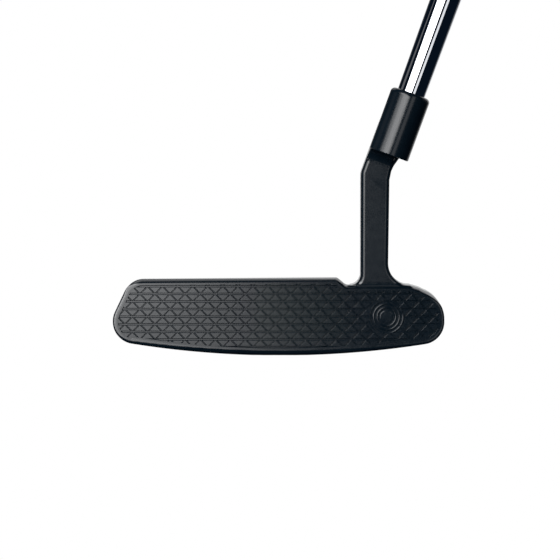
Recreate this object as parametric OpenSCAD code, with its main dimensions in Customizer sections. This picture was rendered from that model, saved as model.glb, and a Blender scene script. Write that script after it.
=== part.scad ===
// Blade putter: heel-toe blade with a plumber's neck, a two-part shaft and a pistol grip.
// Frame: origin at the centre of the rest pad under the sole, +Z up, +X towards the heel,
// the face looks along -Y. The shaft leans towards +X. Millimetres.

/* [Head] */
// Distance from the centre line to the toe
toe_reach = 59.7; // [58:0.05:62]
// Distance from the centre line to the heel
heel_reach = 58.7; // [57:0.05:60]
// Height of the topline at the toe end
topline_toe_h = 27.1; // [26.5:0.05:27.2]
// Height of the topline at the neck end
topline_heel_h = 27.6; // [27.3:0.05:27.9]
// Heel-to-toe radius of the sole
sole_r = 330; // [300:5:360]
// Front-to-back depth of the head at the sole
head_depth = 26.5; // [25:0.5:29]
// Thickness of the topline
topline_w = 6.4; // [5.5:0.1:7]
// Loft of the face in degrees
loft = 3; // [2:0.5:4]
// Height of the flange's upper side behind the face
flange_h = 6.4; // [6.2:0.1:7]

/* [Face lattice] */
// Vertical spacing of the milled lattice lines
lattice_pitch = 2.71; // [2.5:0.005:3]
// Half the base of a lattice triangle
lattice_base = 2.69; // [2.5:0.005:3]
// Width of a level lattice groove
level_w = 0.7; // [0.5:0.05:0.8]
// Width of a slanting lattice groove
slant_w = 0.46; // [0.4:0.02:0.6]
// Depth of a lattice groove
groove_d = 0.3; // [0.2:0.05:0.4]
// Plain margin between the lattice and the edge of the face
face_margin = 2; // [1.8:0.1:2.5]
// Radius of the plain round pad at the heel end of the face
pad_r = 6.2; // [5:0.1:7]

/* [Neck and hosel] */
// Lie angle of the shaft in degrees
lie = 70; // [69:0.5:72]
// Width of the neck seen from the face
neck_w = 9.9; // [9:0.05:11]
// Depth of the neck, front to back
neck_d = 10; // [9:0.5:11]
// Diameter of the hosel barrel
barrel_d = 14.4; // [13.6:0.1:15]
// Length of the hosel barrel
barrel_l = 22.7; // [20:0.1:24]
// How far the shaft's axis stands in front of the leading edge
axis_ahead = 3.6; // [3:0.1:4.5]
// Diameter of the bore that takes the shaft
hosel_bore_d = 9.9; // [9.8:0.05:10]

/* [Sole hardware] */
// Length of the sole plate
plate_l = 56; // [50:1:60]
// Width of the sole plate
plate_w = 13; // [12:0.5:14]
// Head diameter of a sole weight
weight_d = 12; // [11:0.5:12.5]
// Head thickness of a sole weight
weight_head_h = 2.4; // [2:0.1:2.6]
// Shank diameter of a sole weight
weight_shank_d = 10; // [9:0.5:10]
// Shank length of a sole weight
weight_shank_l = 6.5; // [5:0.5:7]

/* [Shaft and grip] */
// Playing length along the shaft, from the ground to the butt
club_l = 889; // [838:1:914]
// Outside diameter of the shaft's tip inside the hosel
tip_d = 9.4; // [9.3:0.05:9.5]
// Outside diameter of the shaft where it leaves the hosel
mouth_d = 10.0; // [9.8:0.05:10.2]
// Diameter of the steel part at its upper end
steel_top_d = 12.7; // [12.4:0.1:13]
// Diameter of the composite part at the butt
butt_d = 15.24; // [15:0.02:15.4]
// Length of the grip
grip_l = 267; // [255:1:280]
// Width of the grip at its upper end
grip_w = 26; // [25:0.5:28]
// Depth of the grip at its upper end
grip_depth = 30; // [29:0.5:32]

/* [Hidden] */
$fn = 64;

// The rest pad is a shallow flat on the sole's curve, and lies in the plane z = 0.
pad_drop = 0.15;
sole_cz = sole_r - pad_drop;
yf = -11;                       // leading edge
yb = yf + head_depth;           // trailing edge
yt = yf + 27 * tan(loft) + topline_w;   // back of the topline

// Corner circles of the outline: [centre x, centre z, radius]
end_r = 8.1;
toe_cx = -(toe_reach - end_r);
heel_cx = heel_reach - end_r;
function on_sole(cx, r) = sole_cz - sqrt(pow(sole_r - r, 2) - cx * cx);
toe_low = [toe_cx, on_sole(toe_cx, end_r), end_r];
heel_low = [heel_cx, on_sole(heel_cx, end_r), end_r];
toe_top_r = 7.5;
toe_top = [toe_cx + 2.9, topline_toe_h - toe_top_r, toe_top_r];
heel_up = [heel_reach - 10.8, 12.9, 10.8];
heel_top = 24.95;               // upper side of the heel, under the neck
shoulder_x = 46.3;              // where the heel's slope starts
notch_x = 24.8;                 // where the topline's step ends
step_x = 19.9;                  // where the topline starts to fall

function arc(c, a0, a1, n) =
    [for (i = [0 : n]) let (a = a0 + (a1 - a0) * i / n) [c[0] + c[2] * cos(a), c[1] + c[2] * sin(a)]];
// Angle of the line that touches two circles on their left side
function left_touch(p, q) =
    let (dx = q[0] - p[0], dz = q[1] - p[1], d = sqrt(dx * dx + dz * dz))
    atan2(dz, dx) + acos((p[2] - q[2]) / d);
function sole_a(c) = atan2(c[1] - sole_cz, c[0]);

toe_a = left_touch(toe_low, toe_top);
head_outline = concat(
    arc([0, sole_cz, sole_r], sole_a(toe_low), sole_a(heel_low), 40),
    arc(heel_low, sole_a(heel_low) + 5, 0, 14),
    arc(heel_up, 4, 70, 14),
    [[shoulder_x + 3.7, heel_top - 1.09], [shoulder_x + 1.9, heel_top - 0.54], [shoulder_x, heel_top]],
    [[notch_x + 0.2, heel_top]],
    arc([notch_x, heel_top + 3.2, 3.2], 262, 222, 5),
    arc([step_x, topline_heel_h - 1.6, 1.6], 42, 88, 5),
    [[-toe_reach + 12.5, topline_toe_h]],
    arc(toe_top, 92, toe_a, 10),
    arc(toe_low, toe_a, 360 + sole_a(toe_low) - 4, 18));

// The same outline drawn in by m, for the plain margin of the face
function shrink(c, m) = [c[0], c[1], c[2] - m];
function face_field(m) = concat(
    arc([0, sole_cz, sole_r - m - 0.8], sole_a(toe_low), sole_a(heel_low), 30),
    arc(shrink(heel_low, m), sole_a(heel_low) + 12, 0, 8),
    arc(shrink(heel_up, m), 6, 70, 10),
    [[shoulder_x + 1.9 - 0.29 * m, heel_top - 0.54 - 0.96 * m], [shoulder_x - 0.2 - 0.13 * m, heel_top - m]],
    arc([notch_x, heel_top + 3.2, 3.2 + m], 268, 224, 6),
    [[step_x + 0.6 - 0.4 * m, topline_heel_h - m]],
    arc(shrink(toe_top, m), 92, toe_a, 8),
    arc(shrink(toe_low, m), toe_a + 6, 360 + sole_a(toe_low) - 8, 10));

// Extrudes an outline drawn in X and Z between two Y positions
module slab(y0, y1) { translate([0, y1, 0]) rotate([90, 0, 0]) linear_extrude(height = y1 - y0) children(); }
// Extrudes a profile drawn in Y and Z between two X positions
module bar(x0, x1) { translate([x0, 0, 0]) rotate([90, 0, 90]) linear_extrude(height = x1 - x0) children(); }

// The face's own frame: its plane is y = 0, the leading edge is at z = 0
module in_face() { translate([0, yf, 0]) rotate([-loft, 0, 0]) children(); }

// Shaft frame: z runs up the shaft's axis from the ground
lean = 90 - lie;
axis_y = yf - axis_ahead;
barrel_bottom = [38.45, 71.75];
ground_x = barrel_bottom[0] - barrel_bottom[1] * tan(lean);
s0 = barrel_bottom[1] / cos(lean);      // barrel's lower end
s1 = s0 + barrel_l;                     // barrel's upper end
module on_shaft(s = 0) { translate([ground_x, axis_y, 0]) rotate([0, lean, 0]) translate([0, 0, s]) children(); }

// ---- head ----

blade_back = 19.5;              // where the ends' slopes meet the blade
cav_toe = -33;
cav_heel = 26;

// Profile of the two end masses in Y and Z
end_profile = concat(
    [[yf - 0.5, 1.9], [yf - 0.5, 30], [yt, 30], [yt, blade_back + 1.2], [yt + 1.2, blade_back]],
    [[yb - 3.4, 12.6], [yb - 1.3, 11.6], [yb, 9.4], [yb, 5.4], [yb - 1.0, 3.8]],
    [[yb - 4, 2.0], [yb - 8, 0.7], [yb - 13, -0.5], [yf + 5, -0.5], [yf + 2.2, 0.35], [yf + 0.9, 0.95], [yf + 0.1, 1.9]]);
// Plan of the head in X and Y: round back corners
plan = concat(
    [[-70, yf - 2], [70, yf - 2]],
    arc([heel_reach - 9.5, yb - 9.5, 9.5], 10, 80, 6),
    arc([-toe_reach + 9.5, yb - 9.5, 9.5], 100, 170, 6));

// Profile of the heel under the neck in Y and Z
heel_profile = [[yt - 2, 10], [yt - 2, heel_top], [yf + 2.8 + neck_d, heel_top], [yf + 4.2 + neck_d, heel_top - 1.4],
                [yb - 5.5, 13.5], [yb - 5.5, 8], [yt, 8]];

pocket = [[26, 8.6], [25, 7.6], [-31, 7.6], [-32, 8.6], [-32, 20.6], [-30.6, 22], [17.6, 22], [22, 20.2], [26, 20.2]];

port_x = 43;
port_y = 2.5;
// Frame of a sole weight: origin on the sole, z into the head
module at_port(side) {
    translate([side * port_x, port_y, sole_cz - sqrt(sole_r * sole_r - port_x * port_x)])
        rotate([0, -side * asin(port_x / sole_r), 0]) children();
}

module rounded_plan(l, w, r) {
    polygon(concat(arc([l / 2 - r, -w / 2 + r, r], -90, 0, 6), arc([l / 2 - r, w / 2 - r, r], 0, 90, 6),
                   arc([-l / 2 + r, w / 2 - r, r], 90, 180, 6), arc([-l / 2 + r, -w / 2 + r, r], 180, 270, 6)));
}

plate_y = 0;
plate_top = 2.0;
gasket_t = 0.3;
screw_x = 21.5;

// Lattice: triangles between level lines and two families of 45 degree lines
module land(up) {
    // inset of a right triangle with its long side level
    h = lattice_pitch; b = lattice_base; g = level_w / 2; d = slant_w / sqrt(2);
    s = up ? 1 : -1;
    polygon([[-b + d + g, s * g], [b - d - g, s * g], [0, s * (h - d)]]);
}
lattice_z0 = 3.054;
lattice_x0 = -1.51;
module lands() {
    for (k = [-1 : 8]) for (i = [-13 : 13]) {
        x0 = lattice_x0 + i * 2 * lattice_base + (abs(k) % 2 == 0 ? 0 : lattice_base);
        translate([x0, lattice_z0 + k * lattice_pitch]) land(true);
        translate([x0 + lattice_base, lattice_z0 + (k + 1) * lattice_pitch]) land(false);
    }
}
badge = [37.93, 13.85];

module face_cut() {
    // the field between the lands is one shallow floor
    in_face() translate([0, groove_d, 0]) rotate([90, 0, 0]) linear_extrude(height = groove_d + 1)
        difference() {
            polygon(face_field(face_margin));
            lands();
            translate(badge) circle(r = pad_r);
        }
    in_face() translate([badge[0], groove_d, badge[1]]) rotate([90, 0, 0])
        difference() { cylinder(r = 5.3, h = 2); translate([0, 0, -1]) cylinder(r = 4.9, h = 4); }
}

module sight_groove(d, w, l) { translate([-w / 2, yb - l, flange_h - d]) cube([w, l + 1, d + 2]); }

module head_body() {
    color([0.12, 0.13, 0.15])
    difference() {
        union() {
            intersection() {
                slab(yf - 1, yb + 1) polygon(head_outline);
                bar(-70, 70) polygon(end_profile);
                translate([0, 0, -2]) linear_extrude(height = 40) polygon(plan);
            }
            intersection() {
                slab(yf + 1, yb + 1) polygon(head_outline);
                bar(26.6, 70) polygon(heel_profile);
                translate([0, 0, -2]) linear_extrude(height = 40) polygon(plan);
            }
        }
        // front plane, leaning back by the loft
        in_face() translate([-80, -20, -10]) cube([160, 20, 60]);
        face_cut();
        // rest pad
        translate([-20, -20, -2]) cube([40, 40, 2]);
        // cavity between the end masses
        slab(yt + 0.8, yb + 2) polygon(concat(
            arc([cav_heel - 4, flange_h + 4, 4], -90, -18, 6), [[cav_heel + 3, 32], [cav_toe - 3.5, 32]],
            arc([cav_toe + 4, flange_h + 4, 4], 198, 270, 6)));
        slab(yt - 1.6, yt + 2) polygon(pocket);
        // line on the flange
        sight_groove(0.5, 1.4, 14);
        // seat of the sole plate
        translate([0, plate_y, -2]) linear_extrude(height = plate_top + gasket_t + 2)
            rounded_plan(plate_l + 0.1, plate_w + 0.1, 4);
        for (sx = [-1, 1]) translate([sx * screw_x, plate_y, 0]) cylinder(r = 1.55, h = 6.0);
        // ports of the sole weights
        for (sx = [-1, 1]) at_port(sx) {
            translate([0, 0, -4]) cylinder(d = weight_d + 0.2, h = 4 + weight_head_h + 1);
            cylinder(d = weight_shank_d + 0.1, h = weight_head_h + weight_shank_l + 2);
        }
        // seat of the neck
        neck_tongue(0.02);
    }
}

// ---- neck and barrel ----

neck_x0 = 28.8;
neck_x1 = neck_x0 + neck_w;
neck_y0 = yf + 2.8;
neck_y1 = neck_y0 + neck_d;
bend_z = 65.0;                  // where the neck takes up the shaft's lean
br = barrel_d / 2;

module neck_tongue(c) {
    translate([neck_x0 + 1 - c, neck_y0 + 1.2 - c, 17 - c]) cube([neck_w - 2 + 2 * c, neck_d - 2.4 + 2 * c, 9]);
}

// Silhouette of the neck in X and Z, with its base fillets and its bend
fl = 3.8; fr = 7.8;
lx = function (w, u) barrel_bottom[0] + w * sin(lean) + u * cos(lean);
lz = function (w, u) barrel_bottom[1] + w * cos(lean) - u * sin(lean);
ul = -br + 0.4; ur = 2.5;
cove_r = 4.6;                   // hollow under the barrel
under = [neck_y0 - axis_y - cove_r, -cove_r, cove_r];
neck_outline = concat(
    [[neck_x0 - fl, heel_top]],
    arc([neck_x0 - fl, heel_top + fl, fl], 276, 360, 6),
    [[neck_x0, bend_z]],
    [for (q = [[13, ul], [13, 3.7], [0.3, 4.3], [-1.2, 3.9], [-3.2, 3.35], [-5.2, 3.15]]) [lx(q[0], q[1]), lz(q[0], q[1])]],
    [[neck_x1 + 0.35, 62.5]],
    arc([neck_x1 + fr, heel_top + fr, fr], 180, 262, 8));

module hosel() {
    color([0.10, 0.11, 0.13])
    difference() {
        union() {
            intersection() {
                slab(neck_y0, neck_y1) polygon(neck_outline);
                // the neck's top, rounded over behind the barrel
                on_shaft(s0) translate([0, -axis_y, 0]) bar(-30, 30) polygon(concat(
                    [[neck_y0 - 2, -70], [neck_y1 + 2, -70]],
                    arc([neck_y1 - 6.5, 6.5, 6.5], 0, 90, 8),
                    [[neck_y0 - 2, 13]]));
            }
            // bridge from the neck forward to the barrel, with a hollow underside
            on_shaft(s0) bar(ul + 0.1, ur - 0.1) polygon(concat(
                [[0.5, 12.4], [0.5, 0.4], [under[0] - 0.6, 0.4]], arc(under, 84, 5, 9),
                [[under[0] + cove_r + 0.5, -cove_r - 0.2], [under[0] + cove_r + 2.5, -cove_r - 0.2], [under[0] + cove_r + 2.5, 12.4]]));
            on_shaft(s0) rotate_extrude($fn = 96) polygon(concat(
                [[0, 0], [br - 0.25, 0], [br, 0.25]], arc([br - 1.4, barrel_l - 1.4, 1.4], 0, 90, 8), [[0, barrel_l]]));
            neck_tongue(0);
        }
        on_shaft(s0 + 2.6) cylinder(d = hosel_bore_d, h = 30);
        on_shaft(s1 - 0.5) cylinder(r1 = hosel_bore_d / 2, r2 = hosel_bore_d / 2 + 0.5, h = 0.51);
    }
}

// ---- sole hardware ----

module sole_plate() {
    color([0.16, 0.17, 0.19])
    difference() {
        intersection() {
            translate([0, plate_y, -1]) linear_extrude(height = plate_top + 1) rounded_plan(plate_l, plate_w, 4);
            translate([0, 40, sole_cz]) rotate([90, 0, 0]) cylinder(r = sole_r, h = 80, $fn = 360);
        }
        translate([-30, -20, -2]) cube([60, 40, 2]);
        for (sx = [-1, 1]) translate([sx * screw_x, plate_y, 0]) {
            translate([0, 0, -1]) cylinder(r = 2.8, h = 1.95);
            translate([0, 0, 0.949]) cylinder(r1 = 2.8, r2 = 1.7, h = 1.1);
            cylinder(r = 1.7, h = 4);
        }
    }
}

module sole_plate_gasket() {
    color([0.05, 0.05, 0.06])
    difference() {
        translate([0, plate_y, plate_top]) linear_extrude(height = gasket_t) rounded_plan(plate_l - 2, plate_w - 2, 3);
        for (sx = [-1, 1]) translate([sx * screw_x, plate_y, 0]) cylinder(r = 2.0, h = 5);
    }
}

module plate_screw() {
    difference() {
        union() {
            translate([0, 0, 0.72]) cylinder(r = 2.7, h = 0.24);
            translate([0, 0, 0.95]) cylinder(r1 = 2.7, r2 = 1.5, h = 1.1);
            translate([0, 0, 1.5]) cylinder(r = 1.5, h = 4.2);
        }
        cylinder(r = 1.15, h = 1.7, $fn = 6);
    }
}

module sole_plate_screws() {
    color([0.6, 0.6, 0.62])
    for (sx = [-1, 1]) translate([sx * screw_x, plate_y, 0]) plate_screw();
}

// A weight: flat head, shank and a hexagonal recess. z = 0 is flush with the sole.
module weight() {
    difference() {
        union() {
            translate([0, 0, 0.3]) rotate_extrude($fn = 72) polygon([[0, 0], [weight_d / 2 - 0.4, 0], [weight_d / 2, 0.4],
                [weight_d / 2, weight_head_h], [0, weight_head_h]]);
            translate([0, 0, 0.3 + weight_head_h - 0.01]) rotate_extrude($fn = 72) polygon([[0, 0], [weight_shank_d / 2, 0],
                [weight_shank_d / 2, weight_shank_l - 0.6], [weight_shank_d / 2 - 0.6, weight_shank_l], [0, weight_shank_l]]);
        }
        cylinder(r = 2.6, h = 3.2, $fn = 6);
    }
}

module weight_ring() {
    translate([0, 0, 0.3 + weight_head_h]) difference() {
        cylinder(d = weight_d - 0.2, h = 0.7);
        translate([0, 0, -1]) cylinder(d = weight_shank_d + 0.2, h = 3);
    }
}

module toe_weight() { color([0.55, 0.55, 0.58]) at_port(-1) weight(); }
module heel_weight() { color([0.55, 0.55, 0.58]) at_port(1) weight(); }
module toe_weight_ring() { color([0.05, 0.05, 0.05]) at_port(-1) weight_ring(); }
module heel_weight_ring() { color([0.05, 0.05, 0.05]) at_port(1) weight_ring(); }

module sight_line() {
    color([0.95, 0.95, 0.93])
    translate([-0.65, yb - 13.9, flange_h - 0.5]) cube([1.3, 13.7, 0.45]);
}

// ---- shaft ----

joint_s = s1 + 190;             // where steel gives way to composite
spigot_l = 35;
bond = (hosel_bore_d - tip_d) / 2;

module ring(r0, r1, a, b) { on_shaft(a) difference() { cylinder(r = r1, h = b - a); translate([0, 0, -1]) cylinder(r = r0, h = b - a + 2); } }

module shaft_epoxy() { color([0.75, 0.7, 0.5]) ring(tip_d / 2, hosel_bore_d / 2, s0 + 3.1, s1 - 0.8); }

module tip_plug() { color([0.8, 0.75, 0.6]) on_shaft(s0 + 3.4) cylinder(r = tip_d / 2 - 0.6, h = 8); }

module shaft_tip() {
    color([0.25, 0.26, 0.30])
    on_shaft() rotate_extrude($fn = 96) polygon([
        [tip_d / 2 - 0.6, s0 + 3.1], [tip_d / 2, s0 + 3.1], [tip_d / 2, s1 - 0.6], [mouth_d / 2, s1 + 0.2],
        [steel_top_d / 2, joint_s - 12], [steel_top_d / 2, joint_s], [5.6, joint_s], [5.6, joint_s + spigot_l],
        [4.9, joint_s + spigot_l], [4.9, joint_s], [tip_d / 2 - 0.6, s1 + 10]]);
}

module shaft_trim_ring() {
    color([0.3, 0.3, 0.32])
    on_shaft(joint_s - 11) rotate_extrude($fn = 96) polygon([
        [steel_top_d / 2 + 0.02, 0], [steel_top_d / 2 + 0.25, 0], [7.1, 4], [7.1, 10.5], [6.95, 11], [steel_top_d / 2 + 0.02, 11]]);
}

module joint_epoxy() { color([0.75, 0.7, 0.5]) ring(5.6, 5.75, joint_s + 0.5, joint_s + spigot_l - 0.5); }

module shaft_body() {
    color([0.10, 0.10, 0.11])
    on_shaft() rotate_extrude($fn = 96) polygon([
        [5.75, joint_s], [6.95, joint_s], [butt_d / 2, club_l - grip_l - 25], [butt_d / 2, club_l - 3],
        [6.3, club_l - 3], [6.3, club_l - grip_l], [5.75, joint_s + spigot_l + 6]]);
}

// ---- grip ----

tape_t = 0.2;
g0 = club_l - grip_l;           // grip's lower mouth

module grip_tape() { color([0.85, 0.83, 0.75]) ring(butt_d / 2, butt_d / 2 + tape_t, g0 + 2, club_l - 4); }

// Half width, front reach and back reach of the grip at a share t of its length
function ease(a, b, t) = a + (b - a) * (t <= 0 ? 0 : t >= 1 ? 1 : t * t * (3 - 2 * t));
function g_half(t) = ease(9.9, grip_w / 2, t / 0.9);
function g_front(t) = ease(9.6, 11.6, t / 0.6);
function g_back(t) = ease(9.9, 11.6, t / 0.35) + (grip_depth - 23.2) * ease(0, 1, (t - 0.55) / 0.33) - 0.6 * ease(0, 1, (t - 0.93) / 0.07);
// A ring: flat in front (towards -x), round at the sides and the back
function g_pt(a, t) =
    let (c = cos(a), s = sin(a), n = 2.6,
         k = pow(pow(abs(c), n) + pow(abs(s), n), -1 / n),
         x = c * k, y = s * k)
    [x < 0 ? max(x * g_front(t) * 1.12, -g_front(t)) : pow(x, 1.0) * g_back(t), y * g_half(t)];
g_n = 48;
g_m = 26;
module grip_form() {
    pts = [for (i = [0 : g_m]) for (j = [0 : g_n - 1])
        let (t = i / g_m, p = g_pt(j * 360 / g_n, t)) [p[0], p[1], t * (grip_l - 2)]];
    caps = concat([[0, 0, 0], [0, 0, grip_l - 2]]);
    last = (g_m + 1) * g_n;
    polyhedron(points = concat(pts, caps), faces = concat(
        [for (i = [0 : g_m - 1]) for (j = [0 : g_n - 1]) let (k = (j + 1) % g_n)
            [i * g_n + j, (i + 1) * g_n + j, (i + 1) * g_n + k, i * g_n + k]],
        [for (j = [0 : g_n - 1]) let (k = (j + 1) % g_n) [last, j, k]],
        [for (j = [0 : g_n - 1]) let (k = (j + 1) % g_n) [last + 1, g_m * g_n + k, g_m * g_n + j]]), convexity = 4);
}

module grip() {
    color([0.07, 0.07, 0.08])
    on_shaft(g0) difference() {
        grip_form();
        translate([0, 0, -1]) cylinder(r = butt_d / 2 + tape_t + 0.03, h = grip_l + 2);
    }
}

module grip_cap() {
    color([0.09, 0.09, 0.10])
    on_shaft(club_l - 2) difference() {
        union() {
            translate([1.2, 0, 0]) cylinder(r = 11.2, h = 2);
            translate([0, 0, -14]) cylinder(r = 6.2, h = 14.5);
        }
        translate([0, 0, -20]) cylinder(r = 2.1, h = 30);
        translate([0, 0, -3]) cylinder(r = 3.8, h = 10);
        translate([7.6, 0, -1]) cylinder(r = 0.8, h = 5);
    }
}

cw0 = club_l - 45;
cw1 = club_l - 17;
module counterweight() {
    color([0.6, 0.6, 0.62])
    on_shaft() difference() {
        rotate_extrude($fn = 72) polygon([[0, cw0], [5.4, cw0], [5.9, cw0 + 0.5], [5.9, cw0 + 12], [5.0, cw0 + 12], [5.0, cw0 + 14.2],
            [5.9, cw0 + 14.2], [5.9, cw1 - 0.5], [5.4, cw1], [0, cw1]]);
        translate([0, 0, cw1 - 14]) cylinder(r = 2.05, h = 20);
    }
}
module counterweight_ring() { color([0.05, 0.05, 0.05]) ring(5.0, 6.25, cw0 + 12.05, cw0 + 14.15); }
module cap_screw() {
    color([0.6, 0.6, 0.62])
    on_shaft(club_l - 5) difference() {
        union() {
            cylinder(r = 3.6, h = 3.2);
            translate([0, 0, -23]) cylinder(r = 2.0, h = 23.1);
        }
        translate([0, 0, 1.4]) cylinder(r = 1.5, h = 4, $fn = 6);
    }
}

head_body();
hosel();
sole_plate();
sole_plate_gasket();
sole_plate_screws();
toe_weight();
heel_weight();
toe_weight_ring();
heel_weight_ring();
sight_line();
shaft_epoxy();
tip_plug();
shaft_tip();
shaft_trim_ring();
joint_epoxy();
shaft_body();
grip_tape();
grip();
grip_cap();
counterweight();
counterweight_ring();
cap_screw();
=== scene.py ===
# Blade putter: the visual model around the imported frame.
import bpy, bmesh, math
import numpy as np
from mathutils import Vector, Matrix


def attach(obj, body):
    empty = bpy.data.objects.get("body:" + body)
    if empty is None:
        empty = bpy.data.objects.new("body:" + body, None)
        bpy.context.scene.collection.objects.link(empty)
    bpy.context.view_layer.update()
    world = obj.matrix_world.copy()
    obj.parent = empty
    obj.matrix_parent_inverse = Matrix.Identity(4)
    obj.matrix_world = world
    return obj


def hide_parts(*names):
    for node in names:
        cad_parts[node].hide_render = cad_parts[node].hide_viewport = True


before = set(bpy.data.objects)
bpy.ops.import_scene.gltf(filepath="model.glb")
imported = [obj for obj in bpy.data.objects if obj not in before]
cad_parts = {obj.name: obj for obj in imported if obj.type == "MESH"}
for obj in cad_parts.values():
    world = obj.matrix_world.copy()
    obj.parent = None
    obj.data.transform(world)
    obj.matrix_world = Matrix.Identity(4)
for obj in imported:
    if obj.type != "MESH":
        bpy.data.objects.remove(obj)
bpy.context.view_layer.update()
MM = 0.001
CLUB = "club"

# ------------------------------------------------------------------ sizes, in millimetres, as in the CAD model
toe_reach, heel_reach = 59.7, 58.7
top_toe, top_heel = 27.1, 27.6
sole_r, pad_drop = 330.0, 0.15
sole_cz = sole_r - pad_drop
loft = math.radians(3)
yf = -11.0
yb = yf + 26.5
yt = yf + 27 * math.tan(loft) + 6.4
flange_h = 6.4
heel_top = 24.95
pitch, half, level_w, slant_w, groove_d = 2.71, 2.69, 0.70, 0.46, 0.30
lat_z0, lat_x0 = 3.054, -1.51
pad_c, pad_r = (37.93, 13.85), 6.2
neck_x0, neck_x1 = 28.8, 38.7
neck_y0, neck_y1 = yf + 2.8, yf + 12.8
bend_z = 65.0
br, barrel_l, bore_r = 7.2, 22.7, 4.95
lean = math.radians(20)
axis_y = yf - 3.6
bar_x, bar_z = 38.45, 71.75
gx = bar_x - bar_z * math.tan(lean)
s0 = bar_z / math.cos(lean)
s1 = s0 + barrel_l
joint_s = s1 + 190
club_l, grip_l, butt_r = 889.0, 267.0, 7.62
g0 = club_l - grip_l


def arc(c, a0, a1, n):
    return [(c[0] + c[2] * math.cos(math.radians(a0 + (a1 - a0) * i / n)),
             c[1] + c[2] * math.sin(math.radians(a0 + (a1 - a0) * i / n))) for i in range(n + 1)]


end_r = 8.1
toe_cx, heel_cx = -(toe_reach - end_r), heel_reach - end_r


def on_sole(cx, r):
    return sole_cz - math.sqrt((sole_r - r) ** 2 - cx * cx)


toe_low = (toe_cx, on_sole(toe_cx, end_r), end_r)
heel_low = (heel_cx, on_sole(heel_cx, end_r), end_r)
toe_top = (toe_cx + 2.9, top_toe - 7.5, 7.5)
heel_up = (47.9, 12.9, 10.8)


def sole_a(c):
    return math.degrees(math.atan2(c[1] - sole_cz, c[0]))


def left_touch(p, q):
    dx, dz = q[0] - p[0], q[1] - p[1]
    return math.degrees(math.atan2(dz, dx)) + math.degrees(math.acos((p[2] - q[2]) / math.hypot(dx, dz)))


toe_a = left_touch(toe_low, toe_top)
HEAD = (arc((0, sole_cz, sole_r), sole_a(toe_low), sole_a(heel_low), 60)
        + arc(heel_low, sole_a(heel_low) + 3, 0, 20)
        + arc(heel_up, 4, 70, 26) + [(50.0, heel_top - 1.09), (48.2, heel_top - 0.54), (46.3, heel_top - 0.02), (45.5, heel_top), (25.0, heel_top)]
        + arc((24.8, heel_top + 3.2, 3.2), 264, 222, 9)
        + arc((19.9, top_heel - 1.6, 1.6), 42, 88, 8)
        + [(-toe_reach + 12.5, top_toe)] + arc(toe_top, 91, toe_a, 18)
        + arc(toe_low, toe_a, 360 + sole_a(toe_low) - 3, 26))


def shrink(c, m):
    return (c[0], c[1], c[2] - m)


def field(m):
    """The face's outline drawn in by m. Every m gives the same number of points."""
    return (arc((0, sole_cz, sole_r - m - 0.8), sole_a(toe_low), sole_a(heel_low), 40)
            + arc(shrink(heel_low, m), sole_a(heel_low) + 12, 0, 12)
            + arc(shrink(heel_up, m), 6, 70, 16)
            + [(48.2 - 0.29 * m, heel_top - 0.54 - 0.96 * m), (46.0 - 0.13 * m, heel_top - m)] + arc((24.8, heel_top + 3.2, 3.2 + m), 268, 224, 7)
            + [(20.5 - 0.4 * m, top_heel - m)]
            + arc(shrink(toe_top, m), 92, toe_a, 12)
            + arc(shrink(toe_low, m), toe_a + 6, 360 + sole_a(toe_low) - 8, 16))


def chaikin(p, n, closed=False):
    for _ in range(n):
        q = [] if closed else [p[0]]
        m = len(p) if closed else len(p) - 1
        for i in range(m):
            a, b = p[i], p[(i + 1) % len(p)]
            q += [(a[0] * .75 + b[0] * .25, a[1] * .75 + b[1] * .25), (a[0] * .25 + b[0] * .75, a[1] * .25 + b[1] * .75)]
        if not closed:
            q.append(p[-1])
        p = q
    return p


BACK = chaikin([(yt, 34), (yt, 20.9), (yt + 1.3, 19.45), (yb - 3.4, 12.6), (yb - 1.3, 11.6), (yb, 9.4), (yb, 5.4),
                (yb - 1.0, 3.8), (yb - 4, 2.0), (yb - 8, 0.7), (yb - 17, -1.7)], 2)
PROFILE = [(yf - 8, 34)] + BACK + [(yb - 21, -6), (yf - 8, -6)]
PLAN = [(-70, yf - 8), (70, yf - 8)] + arc((heel_reach - 9.5, yb - 9.5, 9.5), 8, 80, 14) + arc((-toe_reach + 9.5, yb - 9.5, 9.5), 100, 172, 14)
HEEL = [(yf - 8, 6), (yf - 8, 29), (2.9, 29)] + chaikin([(2.9, 29), (2.9, 24.3), (4.2, 22.9), (10, 13.5)], 2)[1:] + [(10, 6)]
CAV = arc((20.2, flange_h + 4, 4), -90, -8, 9) + [(26.2, 34), (-36.5, 34)] + arc((-29, flange_h + 4, 4), 198, 270, 8)
POCKET = chaikin([(23.4, 8.9), (22.4, 7.6), (-31, 7.6), (-32, 8.6), (-32, 20.6), (-30.6, 22), (16.6, 22), (20.4, 20.2), (23.4, 19.6)], 1, True)
SEAT = [(p[0], p[1]) for p in (arc((24.05, -2.55, 4), -90, 0, 8) + arc((24.05, 2.55, 4), 0, 90, 8)
                               + arc((-24.05, 2.55, 4), 90, 180, 8) + arc((-24.05, -2.55, 4), 180, 270, 8))]
FIELD_CUT = field(1.85)


def lx(w, u):
    return bar_x + w * math.sin(lean) + u * math.cos(lean)


def lz(w, u):
    return bar_z + w * math.cos(lean) - u * math.sin(lean)


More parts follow.
